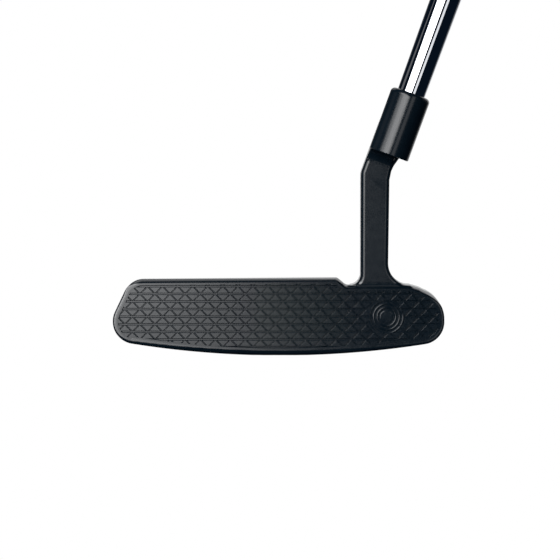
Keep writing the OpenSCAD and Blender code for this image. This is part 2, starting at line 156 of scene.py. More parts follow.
fl, fr = 3.8, 7.8
ul, ur = -6.7, 2.5
NECK = ([(47.2, 21), (27.0, 21), (27.0, heel_top - 0.4)] + [(neck_x0 - fl - 0.6, heel_top - 0.05)] + arc((neck_x0 - fl, heel_top + fl, fl), 270, 360, 14)
        + [(neck_x0, 60)] + chaikin([(neck_x0, bend_z - 2.5), (neck_x0, bend_z), (neck_x0 + 0.855, bend_z + 2.35)], 2) + [(lx(16, ul), lz(16, ul))]
        + [(lx(w, u), lz(w, u)) for w, u in ((16, 3.7), (0.3, 4.4), (-1.2, 4.0), (-3.2, 3.45), (-5.2, 3.25))]
        + [(neck_x1 + 0.35, 62.5)] + arc((neck_x1 + fr, heel_top + fr, fr), 180, 270, 18) + [(47.0, heel_top - 0.35)])
NECK_TOP = [(neck_y0 - 4, -80), (neck_y1 + 4, -80)] + arc((neck_y1 - 6.5, 6.5, 6.5), 0, 90, 12) + [(neck_y0 - 4, 13)]
cove = 4.6
ux = neck_y0 - axis_y - cove
BRIDGE = ([(0.5, 12.4), (0.5, 0.4), (ux - 0.6, 0.4)] + arc((ux, -cove, cove), 85, 4, 16)
          + [(ux + cove + 0.5, -cove - 0.4), (ux + cove + 2.5, -cove - 0.4), (ux + cove + 2.5, 12.4)])


# ------------------------------------------------------------------ distance fields
def psd(px, pz, pts):
    """Signed distance to a closed polygon in a plane, negative inside."""
    p = np.asarray(pts, float)
    n = len(p)
    shape = np.broadcast(px, pz).shape
    best = np.full(shape, 1e9)
    ins = np.zeros(shape, bool)
    for i in range(n):
        ax, az = p[i]
        bx, bz = p[(i + 1) % n]
        ex, ez = bx - ax, bz - az
        l2 = ex * ex + ez * ez
        if l2 < 1e-12:
            continue
        wx, wz = px - ax, pz - az
        t = np.clip((wx * ex + wz * ez) / l2, 0, 1)
        d = (wx - ex * t) ** 2 + (wz - ez * t) ** 2
        np.minimum(best, d, out=best)
        if ez != 0:
            c = (az <= pz) != (bz <= pz)
            ins ^= c & (px < ax + (pz - az) * (ex / ez))
    d = np.sqrt(best)
    return np.where(ins, -d, d)


def rmax(a, b, r):
    m = np.maximum(a, b)
    return np.minimum(-r, m) + np.sqrt(np.maximum(a + r, 0) ** 2 + np.maximum(b + r, 0) ** 2)


def rmin(a, b, r):
    return -rmax(-a, -b, r)


def sstep(a, b, x):
    t = np.clip((x - a) / (b - a), 0, 1)
    return t * t * (3 - 2 * t)


ct, st = math.cos(loft), math.sin(loft)
ca, sa = math.cos(lean), math.sin(lean)
port_x, port_y = 43.0, 2.5
port_z = sole_cz - math.sqrt(sole_r ** 2 - port_x ** 2)
port_t = math.asin(port_x / sole_r)


def head_field(X, Y, Z):
    # the upper side is crowned: it falls away towards the face
    out = psd(X, Z, HEAD) + sstep(17, 23, Z) * sstep(-55, -49, X) * np.maximum(-5.9 - Y, 0) ** 2 / 12.0
    back = rmin(psd(Y, Z, PROFILE), rmax(psd(Y, Z, HEEL), 25.4 - X, 0.8), 1.2)
    r1 = 0.3 + 1.1 * sstep(2, 5.5, Z)
    f = rmax(out, back, r1)
    f = rmax(f, psd(X, Y, PLAN), 1.2)
    cav = rmax(psd(X, Z, CAV), (yt + 0.8) - Y, 0.9)
    f = rmax(f, -cav, 0.55)
    f = rmax(f, -rmax(psd(X, Z, POCKET), (yt - 1.6) - Y, 0.45), 0.3)
    fc = (yf - Y) * ct + Z * st
    rb = 2.1 - 1.0 * np.minimum((X / 55.0) ** 2, 1)
    rf = 0.8 + (rb - 0.8) * sstep(11, 5, Z)
    rf = rf - (rf - 0.32) * sstep(20, 24, Z)
    rf = rf + (0.7 - rf) * sstep(-54.5, -57.5, X) * sstep(5, 9, Z) * sstep(24, 20, Z)
    f = rmax(f, fc, rf)
    # seat of the face's lattice
    rec = np.maximum(psd(X, Z / ct, FIELD_CUT), -fc - 0.8)
    f = np.maximum(f, -rec)
    # flange line, rest pad, plate seat, screw holes, weight ports
    line = np.maximum(np.maximum(np.abs(X) - 0.7, (yb - 14) - Y), (flange_h - 0.5) - Z)
    f = rmax(f, -line, 0.1)
    f = np.maximum(f, -Z)
    f = rmax(f, -np.maximum(psd(X, Y, SEAT), Z - 2.3), 0.22)
    for sx in (-1, 1):
        f = np.maximum(f, -np.maximum(np.hypot(X - sx * 21.5, Y) - 1.55, Z - 6.0))
        qx, qz = X - sx * port_x, Z - port_z
        lxx = qx * math.cos(port_t) + qz * sx * math.sin(port_t)
        lzz = -qx * sx * math.sin(port_t) + qz * math.cos(port_t)
        rr = np.hypot(lxx, Y - port_y)
        f = rmax(f, -np.maximum(rr - 6.1, lzz - 3.4), 0.3)
        f = np.maximum(f, -np.maximum(rr - 5.05, lzz - 10.9))
    return f


def neck_field(X, Y, Z):
    yc = (neck_y0 + neck_y1) / 2
    f = rmax(psd(X, Z, NECK), np.abs(Y - yc) - (neck_y1 - neck_y0) / 2, 1.45)
    w = (X - gx) * sa + Z * ca - s0
    u = (X - gx) * ca - Z * sa
    f = rmax(f, psd(Y, w, NECK_TOP), 1.2)
    br_ = rmax(psd(Y - axis_y, w, BRIDGE), np.abs(u - (ul + ur) / 2) - (ur - ul) / 2 + 0.05, 0.5)
    f = rmin(f, br_, 0.12)
    rr = np.hypot(u, Y - axis_y)
    bar = rmax(rmax(rr - br, w - barrel_l - 0.25, 1.6), -w - 0.15, 0.25)
    f = rmin(f, bar, 0.45)
    return f, rr, w


def solid(X, Y, Z):
    n, rr, w = neck_field(X, Y, Z)
    f = rmin(head_field(X, Y, Z), n, 0.25 + 0.95 * sstep(-7.0, -8.3, Y))
    f = rmax(f, -np.maximum(rr - bore_r, 2.6 - w), 0.35)
    return f


def grad(P, e=0.008):
    x, y, z = P[:, 0], P[:, 1], P[:, 2]
    f = solid(x, y, z)
    g = np.stack([solid(x + e, y, z) - f, solid(x, y + e, z) - f, solid(x, y, z + e) - f], 1) / e
    return f, g


def nets(lo, hi, h, keep):
    """Surface nets on a lattice whose nodes are whole multiples of h. keep(i, j, k) picks the lattice edges that make faces."""
    i0 = np.floor(np.array(lo) / h).astype(int)
    i1 = np.ceil(np.array(hi) / h).astype(int)
    ax = [np.arange(i0[a], i1[a] + 1) for a in range(3)]
    f = solid((ax[0] * h)[:, None, None], (ax[1] * h)[None, :, None], (ax[2] * h)[None, None, :])
    ins = f < 0
    n = ins.shape
    c = ins.astype(np.int8)
    s = sum(c[a:n[0] - 1 + a, b:n[1] - 1 + b, d:n[2] - 1 + d] for a in (0, 1) for b in (0, 1) for d in (0, 1))
    mask = (s > 0) & (s < 8)
    idx = np.argwhere(mask)
    vid = np.full(mask.shape, -1, np.int64)
    vid[mask] = np.arange(len(idx))
    acc, cnt = np.zeros((len(idx), 3)), np.zeros(len(idx))
    for a in range(3):
        for o in ((0, 0), (0, 1), (1, 0), (1, 1)):
            p = np.zeros(3, int)
            p[[q for q in range(3) if q != a]] = o
            q = p.copy(); q[a] = 1
            A, B = idx + p, idx + q
            fa, fb = f[A[:, 0], A[:, 1], A[:, 2]], f[B[:, 0], B[:, 1], B[:, 2]]
            cr = (fa < 0) != (fb < 0)
            t = np.where(cr, fa / np.where(fa == fb, 1, fa - fb), 0)
            pt = A.astype(float)
            pt[:, a] += t
            acc += pt * cr[:, None]
            cnt += cr
    P = (acc / cnt[:, None] + i0) * h
    quads = []
    for a in range(3):
        b, d = (a + 1) % 3, (a + 2) % 3
        A = [slice(None)] * 3; B = [slice(None)] * 3
        A[a], B[a] = slice(0, n[a] - 1), slice(1, n[a])
        ch = ins[tuple(A)] != ins[tuple(B)]
        e = np.argwhere(ch)
        ok = (e[:, b] > 0) & (e[:, d] > 0) & (e[:, b] < n[b] - 1) & (e[:, d] < n[d] - 1)
        e = e[ok]
        e = e[keep(e[:, 0] + i0[0], e[:, 1] + i0[1], e[:, 2] + i0[2])]
        out = ins[e[:, 0], e[:, 1], e[:, 2]]
        cells = []
        for ob, od in ((-1, -1), (0, -1), (0, 0), (-1, 0)):
            q = e.copy(); q[:, b] += ob; q[:, d] += od
            cells.append(vid[q[:, 0], q[:, 1], q[:, 2]])
        Q = np.stack(cells, 1)
        Q[~out] = Q[~out][:, ::-1]
        quads.append(Q)
    Q = np.concatenate(quads)
    used = np.unique(Q)
    new = np.full(len(P), -1); new[used] = np.arange(len(used))
    P, Q = P[used], new[Q]
    for _ in range(2):
        v, g = grad(P)
        step = v[:, None] * g / np.maximum((g * g).sum(1), 0.2)[:, None]
        ln = np.linalg.norm(step, axis=1)
        step *= np.minimum(1, 0.45 * h / np.maximum(ln, 1e-9))[:, None]
        P = P - step
    return P, Q


def mesh_from(name, P, F, smooth=True):
    me = bpy.data.meshes.new(name)
    me.from_pydata([tuple(p) for p in P], [], [tuple(f) for f in F])
    me.update()
    if smooth:
        me.shade_smooth()
    o = bpy.data.objects.new(name, me)
    bpy.context.scene.collection.objects.link(o)
    return o


def cast(name, lo, hi, h, keep):
    P, Q = nets(lo, hi, h, keep)
    me = bpy.data.meshes.new(name)
    me.vertices.add(len(P)); me.vertices.foreach_set("co", P.astype(np.float32).ravel())
    me.loops.add(len(Q) * 4); me.loops.foreach_set("vertex_index", Q.ravel().astype(np.int32))
    me.polygons.add(len(Q))
    me.polygons.foreach_set("loop_start", np.arange(0, len(Q) * 4, 4, dtype=np.int32))
    me.update(calc_edges=True); me.validate()
    bm = bmesh.new(); bm.from_mesh(me)
    edge = [e for e in bm.edges if e.is_boundary]
    if edge:
        bmesh.ops.holes_fill(bm, edges=edge, sides=0)
    bmesh.ops.dissolve_limit(bm, angle_limit=math.radians(0.3), use_dissolve_boundaries=False,
                             verts=bm.verts, edges=bm.edges, delimit=set())
    bmesh.ops.triangulate(bm, faces=[f for f in bm.faces if len(f.verts) > 4])
    bm.to_mesh(me); bm.free()
    nv, nl, nf = len(me.vertices), len(me.loops), len(me.polygons)
    co = np.zeros(nv * 3); me.vertices.foreach_get("co", co); co = co.reshape(-1, 3)
    _, g = grad(co)
    vn = g / np.maximum(np.linalg.norm(g, axis=1), 1e-9)[:, None]
    li = np.zeros(nl, np.int32); me.loops.foreach_get("vertex_index", li)
    fn = np.zeros(nf * 3); me.polygons.foreach_get("normal", fn); fn = fn.reshape(-1, 3)
    tot = np.zeros(nf, np.int32); me.polygons.foreach_get("loop_total", tot)
    lf = np.repeat(fn, tot, axis=0)
    ln = vn[li]
    bad = (ln * lf).sum(1) < math.cos(math.radians(34))
    ln[bad] = lf[bad]
    me.vertices.foreach_set("co", (co * MM).astype(np.float32).ravel())
    me.update(); me.shade_smooth()
    me.normals_split_custom_set([tuple(v) for v in ln])
    o = bpy.data.objects.new(name, me)
    bpy.context.scene.collection.objects.link(o)
    print(name, "vertices", nv, "faces", nf)
    return o


H = 0.36
KC = int(round(26.3 / H))
IC = int(round(24.4 / H))
head = cast("head_shell", (-60.8, -12.2, -0.9), (59.6, 16.6, 28.9), H,
            lambda i, j, k: ~((k >= KC) & (i >= IC)))
neck = cast("neck_and_hosel", (24.0, -22.6, 25.4), (56.5, 3.0, 95.5), H,
            lambda i, j, k: (k >= KC) & (i >= IC))


# ------------------------------------------------------------------ face lattice
class Shell:
    """Vertices and faces of several closed shells in one mesh, in millimetres."""
    def __init__(self):
        self.v, self.f = [], []

    def rings(self, rings, close=False, cap=True):
        """Joins rings of equal length. close joins the last ring to the first."""
        base = len(self.v); n = len(rings[0])
        for r in rings:
            self.v += r
        m = len(rings)
        for a in range(m if close else m - 1):
            for i in range(n):
                j = (i + 1) % n
                p, q = base + a * n, base + ((a + 1) % m) * n
                self.f.append((p + i, p + j, q + j, q + i))
        if cap and not close:
            self.f.append(tuple(base + i for i in range(n))[::-1])
            self.f.append(tuple(base + (m - 1) * n + i for i in range(n)))


def to_face(x, d, z):
    """From the face's own frame, d into the head, to the row frame."""
    return (x, yf + d * ct + z * st, -d * st + z * ct)


def clip(poly, line_pts):
    """Clips a polygon by a convex one that turns counter-clockwise."""
    out = poly
    n = len(line_pts)
    for i in range(n):
        a, b = line_pts[i], line_pts[(i + 1) % n]
        src, out = out, []
        if not src:
            return []
        def side(p):
            return (b[0] - a[0]) * (p[1] - a[1]) - (b[1] - a[1]) * (p[0] - a[0])
        for j in range(len(src)):
            p, q = src[j], src[(j + 1) % len(src)]
            sp, sq = side(p), side(q)
            if sp >= 0:
                out.append(p)
            if (sp >= 0) != (sq >= 0):
                t = sp / (sp - sq)
                out.append((p[0] + (q[0] - p[0]) * t, p[1] + (q[1] - p[1]) * t))
    # drop doubled points
    res = []
    for p in out:
        if not res or math.hypot(p[0] - res[-1][0], p[1] - res[-1][1]) > 0.02:
            res.append(p)
    while len(res) > 1 and math.hypot(res[0][0] - res[-1][0], res[0][1] - res[-1][1]) <= 0.02:
        res.pop()
    return res


def area(p):
    return 0.5 * sum(p[i][0] * p[(i + 1) % len(p)][1] - p[(i + 1) % len(p)][0] * p[i][1] for i in range(len(p)))


def inset(p, d):
    """Moves each side of a convex counter-clockwise polygon in by d."""
    n = len(p); q = []
    for i in range(n):
        a, b, c = p[i - 1], p[i], p[(i + 1) % n]
        e0 = (b[0] - a[0], b[1] - a[1]); l0 = math.hypot(*e0)
        e1 = (c[0] - b[0], c[1] - b[1]); l1 = math.hypot(*e1)
        n0, n1 = (-e0[1] / l0, e0[0] / l0), (-e1[1] / l1, e1[0] / l1)
        k = 1 + n0[0] * n1[0] + n0[1] * n1[1]
        if k < 0.08:
            k = 0.08
        q.append((b[0] + d * (n0[0] + n1[0]) / k, b[1] + d * (n0[1] + n1[1]) / k))
    return q


FIELD_M = 2.0
FLARE = 0.22            # how far a groove's wall slopes out on its way down
plate = Shell()
rim0, rim1 = field(1.35), field(FIELD_M - 0.07)
rim2 = field(FIELD_M)
plate.rings([[to_face(x, 0.25, z) for x, z in rim0], [to_face(x, -0.012, z) for x, z in rim0],
             [to_face(x, -0.012, z) for x, z in rim1], [to_face(x, 0.03, z) for x, z in rim2],
             [to_face(x, groove_d + 0.02, z) for x, z in field(FIELD_M + FLARE)],
             [to_face(x, 0.55, z) for x, z in field(FIELD_M + FLARE)], [to_face(x, 0.55, z) for x, z in rim0]], close=True)
floor_o = field(1.9)
plate.rings([[to_face(x, 0.75, z) for x, z in floor_o], [to_face(x, groove_d, z) for x, z in floor_o]])
clip_poly = field(FIELD_M - 0.2)
h_, b_, g_, d_ = pitch, half, level_w / 2, slant_w / math.sqrt(2)
lands = 0
for k in range(-1, 9):
    for i in range(-13, 14):
        x0 = lat_x0 + i * 2 * half + (0 if k % 2 == 0 else half)
        for ox, oz, s in ((x0, lat_z0 + k * pitch, 1), (x0 + half, lat_z0 + (k + 1) * pitch, -1)):
            tri = [(-b_ + d_ + g_, s * g_), (b_ - d_ - g_, s * g_), (0, s * (h_ - d_))]
            tri = [(ox + a, oz + b) for a, b in tri]
            if area(tri) < 0:
                tri.reverse()
            if math.hypot(sum(a for a, b in tri) / 3 - pad_c[0], sum(b for a, b in tri) / 3 - pad_c[1]) < pad_r + 0.3:
                continue
            inside = clip(clip_poly, tri)
            if len(inside) < 3 or abs(area(inside)) < 0.12:
                continue
            if area(inside) < 0:
                inside.reverse()
            top = inset(inside, 0.06)
            if area(top) < 0.02:
                continue
            mid, foot = inset(inside, 0.02), inset(inside, 0.02 - FLARE)
            plate.rings([[to_face(a, 0.45, b) for a, b in foot], [to_face(a, groove_d + 0.02, b) for a, b in foot],
                         [to_face(a, 0.02, b) for a, b in mid], [to_face(a, 0.0, b) for a, b in top]])
            lands += 1


def disc(prof, c, n=96):
    """A turned pad on the face: prof lists radius and depth from the outer foot to the centre."""
    rings = []
    for r, d in prof:
        rings.append([to_face(c[0] + r * math.cos(2 * math.pi * i / n), d, c[1] + r * math.sin(2 * math.pi * i / n)) for i in range(n)])
    plate.rings(rings)


ripple = [(5.9 - 0.065 * i, 0.2 * (1 - math.cos(2 * math.pi * 0.065 * i / 1.3))) for i in range(51)]
disc([(pad_r + 0.2, 0.45), (pad_r + 0.2, 0.32), (pad_r - 0.04, 0.04), (pad_r - 0.1, 0.0)] + ripple
     + [(2.45, 0.36), (2.22, 0.17), (2.08, 0.12), (0.05, 0.12)], pad_c)
lattice = mesh_from("face_lattice", [(a * MM, b * MM, c * MM) for a, b, c in plate.v], plate.f, smooth=False)
bm = bmesh.new(); bm.from_mesh(lattice.data)
bmesh.ops.recalc_face_normals(bm, faces=bm.faces)
bm.to_mesh(lattice.data); bm.free()
print("lands", lands)


# ------------------------------------------------------------------ turned parts on the shaft's axis
def at_shaft(u, v, s):
    return (gx + s * sa + u * ca, axis_y + v, s * ca - u * sa)


def turned(name, prof, n=128, hard=30, off=0.0):
    """Turns a closed profile of (radius, s) round the shaft's axis, with exact smooth shading apart from hard corners."""
    V, F = [], []
    m = len(prof)
    for r, s in prof:
        for i in range(n):
            a = 2 * math.pi * i / n
            V.append(tuple(c * MM for c in at_shaft(off + r * math.cos(a), r * math.sin(a), s)))
    for a in range(m):
        b = (a + 1) % m
        for i in range(n):
            j = (i + 1) % n
            F.append((a * n + i, a * n + j, b * n + j, b * n + i))
    o = mesh_from(name, V, F)
    bm = bmesh.new(); bm.from_mesh(o.data)
    bmesh.ops.remove_doubles(bm, verts=bm.verts, dist=1e-7)
    bmesh.ops.recalc_face_normals(bm, faces=bm.faces)
    for e in bm.edges:
        if len(e.link_faces) == 2 and e.calc_face_angle(0) > math.radians(hard):
            e.smooth = False
    bm.to_mesh(o.data); bm.free()
    return o


def rounded(prof, r, n=4, closed=True):
    """Rounds every corner of a closed profile by up to r."""
    out = []; m = len(prof)
    for i in range(m):
        a, b, c = prof[i - 1], prof[i], prof[(i + 1) % m]
        l0, l1 = math.dist(a, b), math.dist(b, c)
        k0, k1 = min(r, l0 * .45) / l0, min(r, l1 * .45) / l1
        p = (b[0] + (a[0] - b[0]) * k0, b[1] + (a[1] - b[1]) * k0)
        q = (b[0] + (c[0] - b[0]) * k1, b[1] + (c[1] - b[1]) * k1)
        for j in range(n + 1):
            t = j / n
            out.append(((1 - t) ** 2 * p[0] + 2 * t * (1 - t) * b[0] + t * t * q[0],
                        (1 - t) ** 2 * p[1] + 2 * t * (1 - t) * b[1] + t * t * q[1]))
    return out


tip_r = 4.7
shaft_tip = turned("steel_shaft", rounded([(tip_r - 0.6, s0 + 3.1), (tip_r, s0 + 3.1), (tip_r, s1 - 0.6), (5.0, s1 + 0.2)], 0.05, 1)[:]
                   + [(6.35, joint_s - 12), (6.35, joint_s - 0.1), (6.25, joint_s), (5.6, joint_s), (5.6, joint_s + 35), (4.9, joint_s + 35),
                      (4.9, joint_s), (tip_r - 0.6, s1 + 10)])
trim = turned("joint_trim_ring", rounded([(6.37, joint_s - 11), (6.6, joint_s - 11), (7.06, joint_s - 7), (7.06, joint_s - 5.2), (6.93, joint_s - 4.9),
                                          (6.93, joint_s - 4.5), (7.06, joint_s - 4.2), (7.06, joint_s - 2.4), (6.93, joint_s - 2.1), (6.93, joint_s - 1.7),
                                          (7.1, joint_s - 1.4), (7.1, joint_s - 0.4), (6.95, joint_s), (6.37, joint_s)], 0.12, 3))
taper = [(6.95 + 0.67 * t, joint_s + 0.0 + (club_l - grip_l - 25 - joint_s) * t) for t in (0.0005, 0.25, 0.5, 0.75, 1)]
shaft_up = turned("composite_shaft", [(5.75, joint_s + 0.05), (6.85, joint_s + 0.05)] + [(6.95, joint_s + 0.15)] + taper[1:]
                  + [(7.62, club_l - 3), (6.3, club_l - 3), (6.3, club_l - grip_l), (5.75, joint_s + 41)])


# ------------------------------------------------------------------ grip
def ease(a, b, t):
    t = min(1.0, max(0.0, t))
    return a + (b - a) * t * t * (3 - 2 * t)


def g_pt(a, t):
    c, s = math.cos(a), math.sin(a)
    k = (abs(c) ** 2.6 + abs(s) ** 2.6) ** (-1 / 2.6)
    half, front = ease(9.9, 13.0, t / 0.9), ease(9.6, 11.6, t / 0.6)
    back = ease(9.9, 11.6, t / 0.35) + 6.8 * ease(0, 1, (t - 0.55) / 0.33) - 0.6 * ease(0, 1, (t - 0.93) / 0.07)
    x, y = c * k, s * k
    return (max(x * front * 1.12, -front) if x < 0 else x * back, y * half)


def build_grip():
    n, length = 192, grip_l - 2
    # stations along the grip, closer together at its ends
    T = [0.0, 0.0012, 0.003, 0.006] + [0.006 + 0.988 * i / 430 for i in range(1, 431)] + [0.9965, 0.999, 1.0]
    rings = []
    for t in T:
        base = [g_pt(2 * math.pi * j / n, t) for j in range(n)]
        # rounded mouths
        e = 0.0
        if t < 0.006:
            e = 0.9 * (1 - math.sqrt(max(0, 1 - (1 - t / 0.006) ** 2)))
        if t > 0.994:
            e = 0.9 * (1 - math.sqrt(max(0, 1 - ((t - 0.994) / 0.006) ** 2)))
        ring = []
        run = 0.0
        for j in range(n):
            x, y = base[j]
            px, py = base[j - 1]; qx, qy = base[(j + 1) % n]
            nx, ny = qy - py, px - qx
            l = math.hypot(nx, ny)
            nx, ny = nx / l, ny / l
            a = 2 * math.pi * j / n
            z = t * length
            # pressed pattern: slanting ribs round the back and the sides, plain bands on the flat front
            press = 0.0
            if 0.035 < t < 0.955:
                edge = min(1, (t - 0.035) / 0.004, (0.955 - t) / 0.004)
                front = nx < -0.9
                if front:
                    p = math.sin(2 * math.pi * z / 6.2)
                    w = min(1, max(0, (6.4 - abs(y)) / 0.6))
                    press = 0.22 * w * max(0.0, min(1.0, (p - 0.45) / 0.3))
                else:
                    c1 = math.sin(2 * math.pi * (z / 4.4 + a * 26 / (2 * math.pi) / 2))
                    c2 = math.sin(2 * math.pi * (z / 4.4 - a * 26 / (2 * math.pi) / 2))
                    v = max(c1, c2)
                    w = min(1, max(0, (nx + 0.86) / 0.08))
                    press = 0.24 * w * max(0.0, min(1.0, (v - 0.62) / 0.25))
                press *= edge
            d = e + press
            ring.append((x - nx * d, y - ny * d, g0 + z))
        rings.append(ring)
    bore = butt_r + 0.23
    inner = [[(bore * math.cos(2 * math.pi * j / n), bore * math.sin(2 * math.pi * j / n), g0 + t * length) for j in range(n)] for t in (1.0, 0.5, 0.0)]
    V, F = [], []
    allr = rings + inner
    for r in allr:
        V += [tuple(c * MM for c in at_shaft(x, y, s)) for x, y, s in r]
    m = len(allr)
    for a in range(m):
        b = (a + 1) % m
        for i in range(n):
            j = (i + 1) % n
            F.append((a * n + i, a * n + j, b * n + j, b * n + i))
    o = mesh_from("grip_sleeve", V, F)
    bm = bmesh.new(); bm.from_mesh(o.data)
    bmesh.ops.recalc_face_normals(bm, faces=bm.faces)
    for e in bm.edges:
        if len(e.link_faces) == 2 and e.calc_face_angle(0) > math.radians(50):
            e.smooth = False
    bm.to_mesh(o.data); bm.free()
    return o


grip = build_grip()

# ------------------------------------------------------------------ what rides where
for o, nodes, sl in ((head, ("head_body",), "head_finish"), (neck, ("hosel",), "head_finish"), (lattice, (), "head_finish"),
                     (shaft_tip, ("shaft_tip",), "shaft_chrome"), (trim, ("shaft_trim_ring",), "ring_chrome"),
                     (shaft_up, ("shaft_body",), "composite"), (grip, ("grip",), "grip_rubber")):
    if nodes:
        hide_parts(*nodes)
    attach(o, CLUB)


# ------------------------------------------------------------------ materials
class Mat:
    def __init__(self, name):
        self.m = bpy.data.materials.new(name)
        self.m.use_nodes = True
        self.t = self.m.node_tree
        self.b = self.t.nodes["Principled BSDF"]
        self.co = self.t.nodes.new("ShaderNodeTexCoord")

    def new(self, kind, **inputs):
        n = self.t.nodes.new(kind)
        for k, v in inputs.items():
            key = k.replace("_", " ")
            if hasattr(n, k) and k not in n.inputs and key not in n.inputs:
                setattr(n, k, v)
            elif isinstance(v, bpy.types.NodeSocket):
                self.t.links.new(v, n.inputs[key])
            else:
                n.inputs[key].default_value = v
        return n

    def link(self, a, b):
        self.t.links.new(a, b)

    def mapped(self, scale, rot=(0, 0, 0), loc=(0, 0, 0)):
        m = self.t.nodes.new("ShaderNodeMapping")
        m.inputs["Scale"].default_value = scale
        m.inputs["Rotation"].default_value = rot
        m.inputs["Location"].default_value = loc
        self.link(self.co.outputs["Object"], m.inputs["Vector"])
        return m.outputs[0]

    def noise(self, scale, detail=3, rough=0.55, vec=None):
        n = self.t.nodes.new("ShaderNodeTexNoise")
        n.inputs["Scale"].default_value = scale
        n.inputs["Detail"].default_value = detail
        n.inputs["Roughness"].default_value = rough
        self.link(vec or self.co.outputs["Object"], n.inputs["Vector"])
        return n.outputs["Fac"]

    def span(self, fac, a0, a1, b0, b1):
        n = self.t.nodes.new("ShaderNodeMapRange")
        for k, v in zip(("From Min", "From Max", "To Min", "To Max"), (a0, a1, b0, b1)):
            n.inputs[k].default_value = v
        self.link(fac, n.inputs["Value"])
        return n.outputs["Result"]

    def ramp(self, fac, stops):
        n = self.t.nodes.new("ShaderNodeValToRGB")
        e = n.color_ramp.elements
        while len(e) < len(stops):
            e.new(0.5)
        for s, (p, c) in zip(e, stops):
            s.position = p
            s.color = (*c, 1)
        self.link(fac, n.inputs["Fac"])
        return n.outputs["Color"]

    def math(self, op, a, b=None, clamp=False):
        n = self.t.nodes.new("ShaderNodeMath")
        n.operation = op
        n.use_clamp = clamp
        for i, v in enumerate((a, b)):
            if v is None:
                continue
            if isinstance(v, bpy.types.NodeSocket):
                self.link(v, n.inputs[i])
            else:
                n.inputs[i].default_value = v
        return n.outputs[0]

    def bump(self, height, strength, dist, before=None):
        n = self.t.nodes.new("ShaderNodeBump")
        n.inputs["Strength"].default_value = strength
        n.inputs["Distance"].default_value = dist
        self.link(height, n.inputs["Height"])
        if before is not None:
            self.link(before, n.inputs["Normal"])
        return n.outputs["Normal"]

    def set(self, **k):
        for a, v in k.items():
            key = a.replace("_", " ")
            if isinstance(v, bpy.types.NodeSocket):
                self.link(v, self.b.inputs[key])
            else:
                self.b.inputs[key].default_value = v
        return self.m


def black_coat(name, spec, r0, r1):
    """Satin blue-black coating: a dark body under a thin clear film, a little cloudy, with a fine grain."""
    m = Mat(name)
    broad = m.noise(55, 2)
    grain = m.noise(5200, 2, 0.6)
    cloud = m.noise(420, 4, 0.6)
    col = m.ramp(m.math("ADD", m.math("MULTIPLY", broad, 0.5), m.math("MULTIPLY", cloud, 0.5)),
                 [(0.3, (0.0018, 0.0048, 0.0080)), (0.7, (0.0030, 0.0068, 0.0110))])
    rough = m.math("ADD", m.span(cloud, 0.3, 0.7, r0, r1), m.span(grain, 0.3, 0.7, -0.012, 0.012))
    n = m.bump(grain, 0.03, 0.00001)
    return m.set(Base_Color=col, Metallic=0.0, Specular_IOR_Level=spec, Roughness=rough, Normal=n)


def plate_finish():
    m = Mat("milled_sole_plate")
    lines = m.t.nodes.new("ShaderNodeTexWave")
    lines.wave_type = "BANDS"; lines.bands_direction = "X"
    lines.inputs["Scale"].default_value = 700
    lines.inputs["Distortion"].default_value = 0.6
    m.link(m.mapped((1, 1, 1)), lines.inputs["Vector"])
    cloud = m.noise(500, 3)
    col = m.ramp(cloud, [(0.3, (0.20, 0.205, 0.215)), (0.7, (0.27, 0.275, 0.285))])
    return m.set(Base_Color=col, Metallic=1.0, Roughness=m.span(cloud, 0.3, 0.7, 0.26, 0.36), Normal=m.bump(lines.outputs["Fac"], 0.25, 0.00004))


def steel(name, lo, hi, r0, r1, ring=False):
    m = Mat(name)
    cloud = m.noise(900, 4)
    fine = m.noise(1, 2, 0.5, m.mapped((9000, 9000, 900)))
    col = m.ramp(cloud, [(0.3, lo), (0.7, hi)])
    return m.set(Base_Color=col, Metallic=1.0, Roughness=m.span(cloud, 0.25, 0.75, r0, r1), Normal=m.bump(fine, 0.12, 0.00002))


def chrome():
    m = Mat("dark_chrome")
    cloud = m.noise(240, 3)
    fine = m.noise(2600, 2)
    col = m.ramp(cloud, [(0.3, (0.70, 0.72, 0.76)), (0.7, (0.74, 0.76, 0.79))])
    return m.set(Base_Color=col, Metallic=1.0, Roughness=m.span(fine, 0.3, 0.7, 0.030, 0.055), Normal=m.bump(cloud, 0.04, 0.00002))


def composite():
    m = Mat("lacquered_composite")
    # weave turned to run along the shaft
    v = m.mapped((1, 1, 1), rot=(0, -lean, 0))
    chk = m.t.nodes.new("ShaderNodeTexWave")
    chk.wave_type = "BANDS"; chk.bands_direction = "DIAGONAL"
    chk.inputs["Scale"].default_value = 260
    chk.inputs["Distortion"].default_value = 0.4
    m.link(v, chk.inputs["Vector"])
    v2 = m.mapped((1, -1, 1), rot=(0, -lean, 0))
    ch2 = m.t.nodes.new("ShaderNodeTexWave")
    ch2.wave_type = "BANDS"; ch2.bands_direction = "DIAGONAL"
    ch2.inputs["Scale"].default_value = 260
    ch2.inputs["Distortion"].default_value = 0.4
    m.link(v2, ch2.inputs["Vector"])
    w = m.math("MULTIPLY", chk.outputs["Fac"], ch2.outputs["Fac"])
    col = m.ramp(w, [(0.05, (0.012, 0.012, 0.014)), (0.6, (0.045, 0.047, 0.052))])
    rough = m.span(w, 0, 1, 0.42, 0.28)
    m.set(Base_Color=col, Metallic=0.25, Roughness=rough, Normal=m.bump(w, 0.12, 0.00005))
    m.b.inputs["Coat Weight"].default_value = 0.9
    m.b.inputs["Coat Roughness"].default_value = 0.06
    return m.m


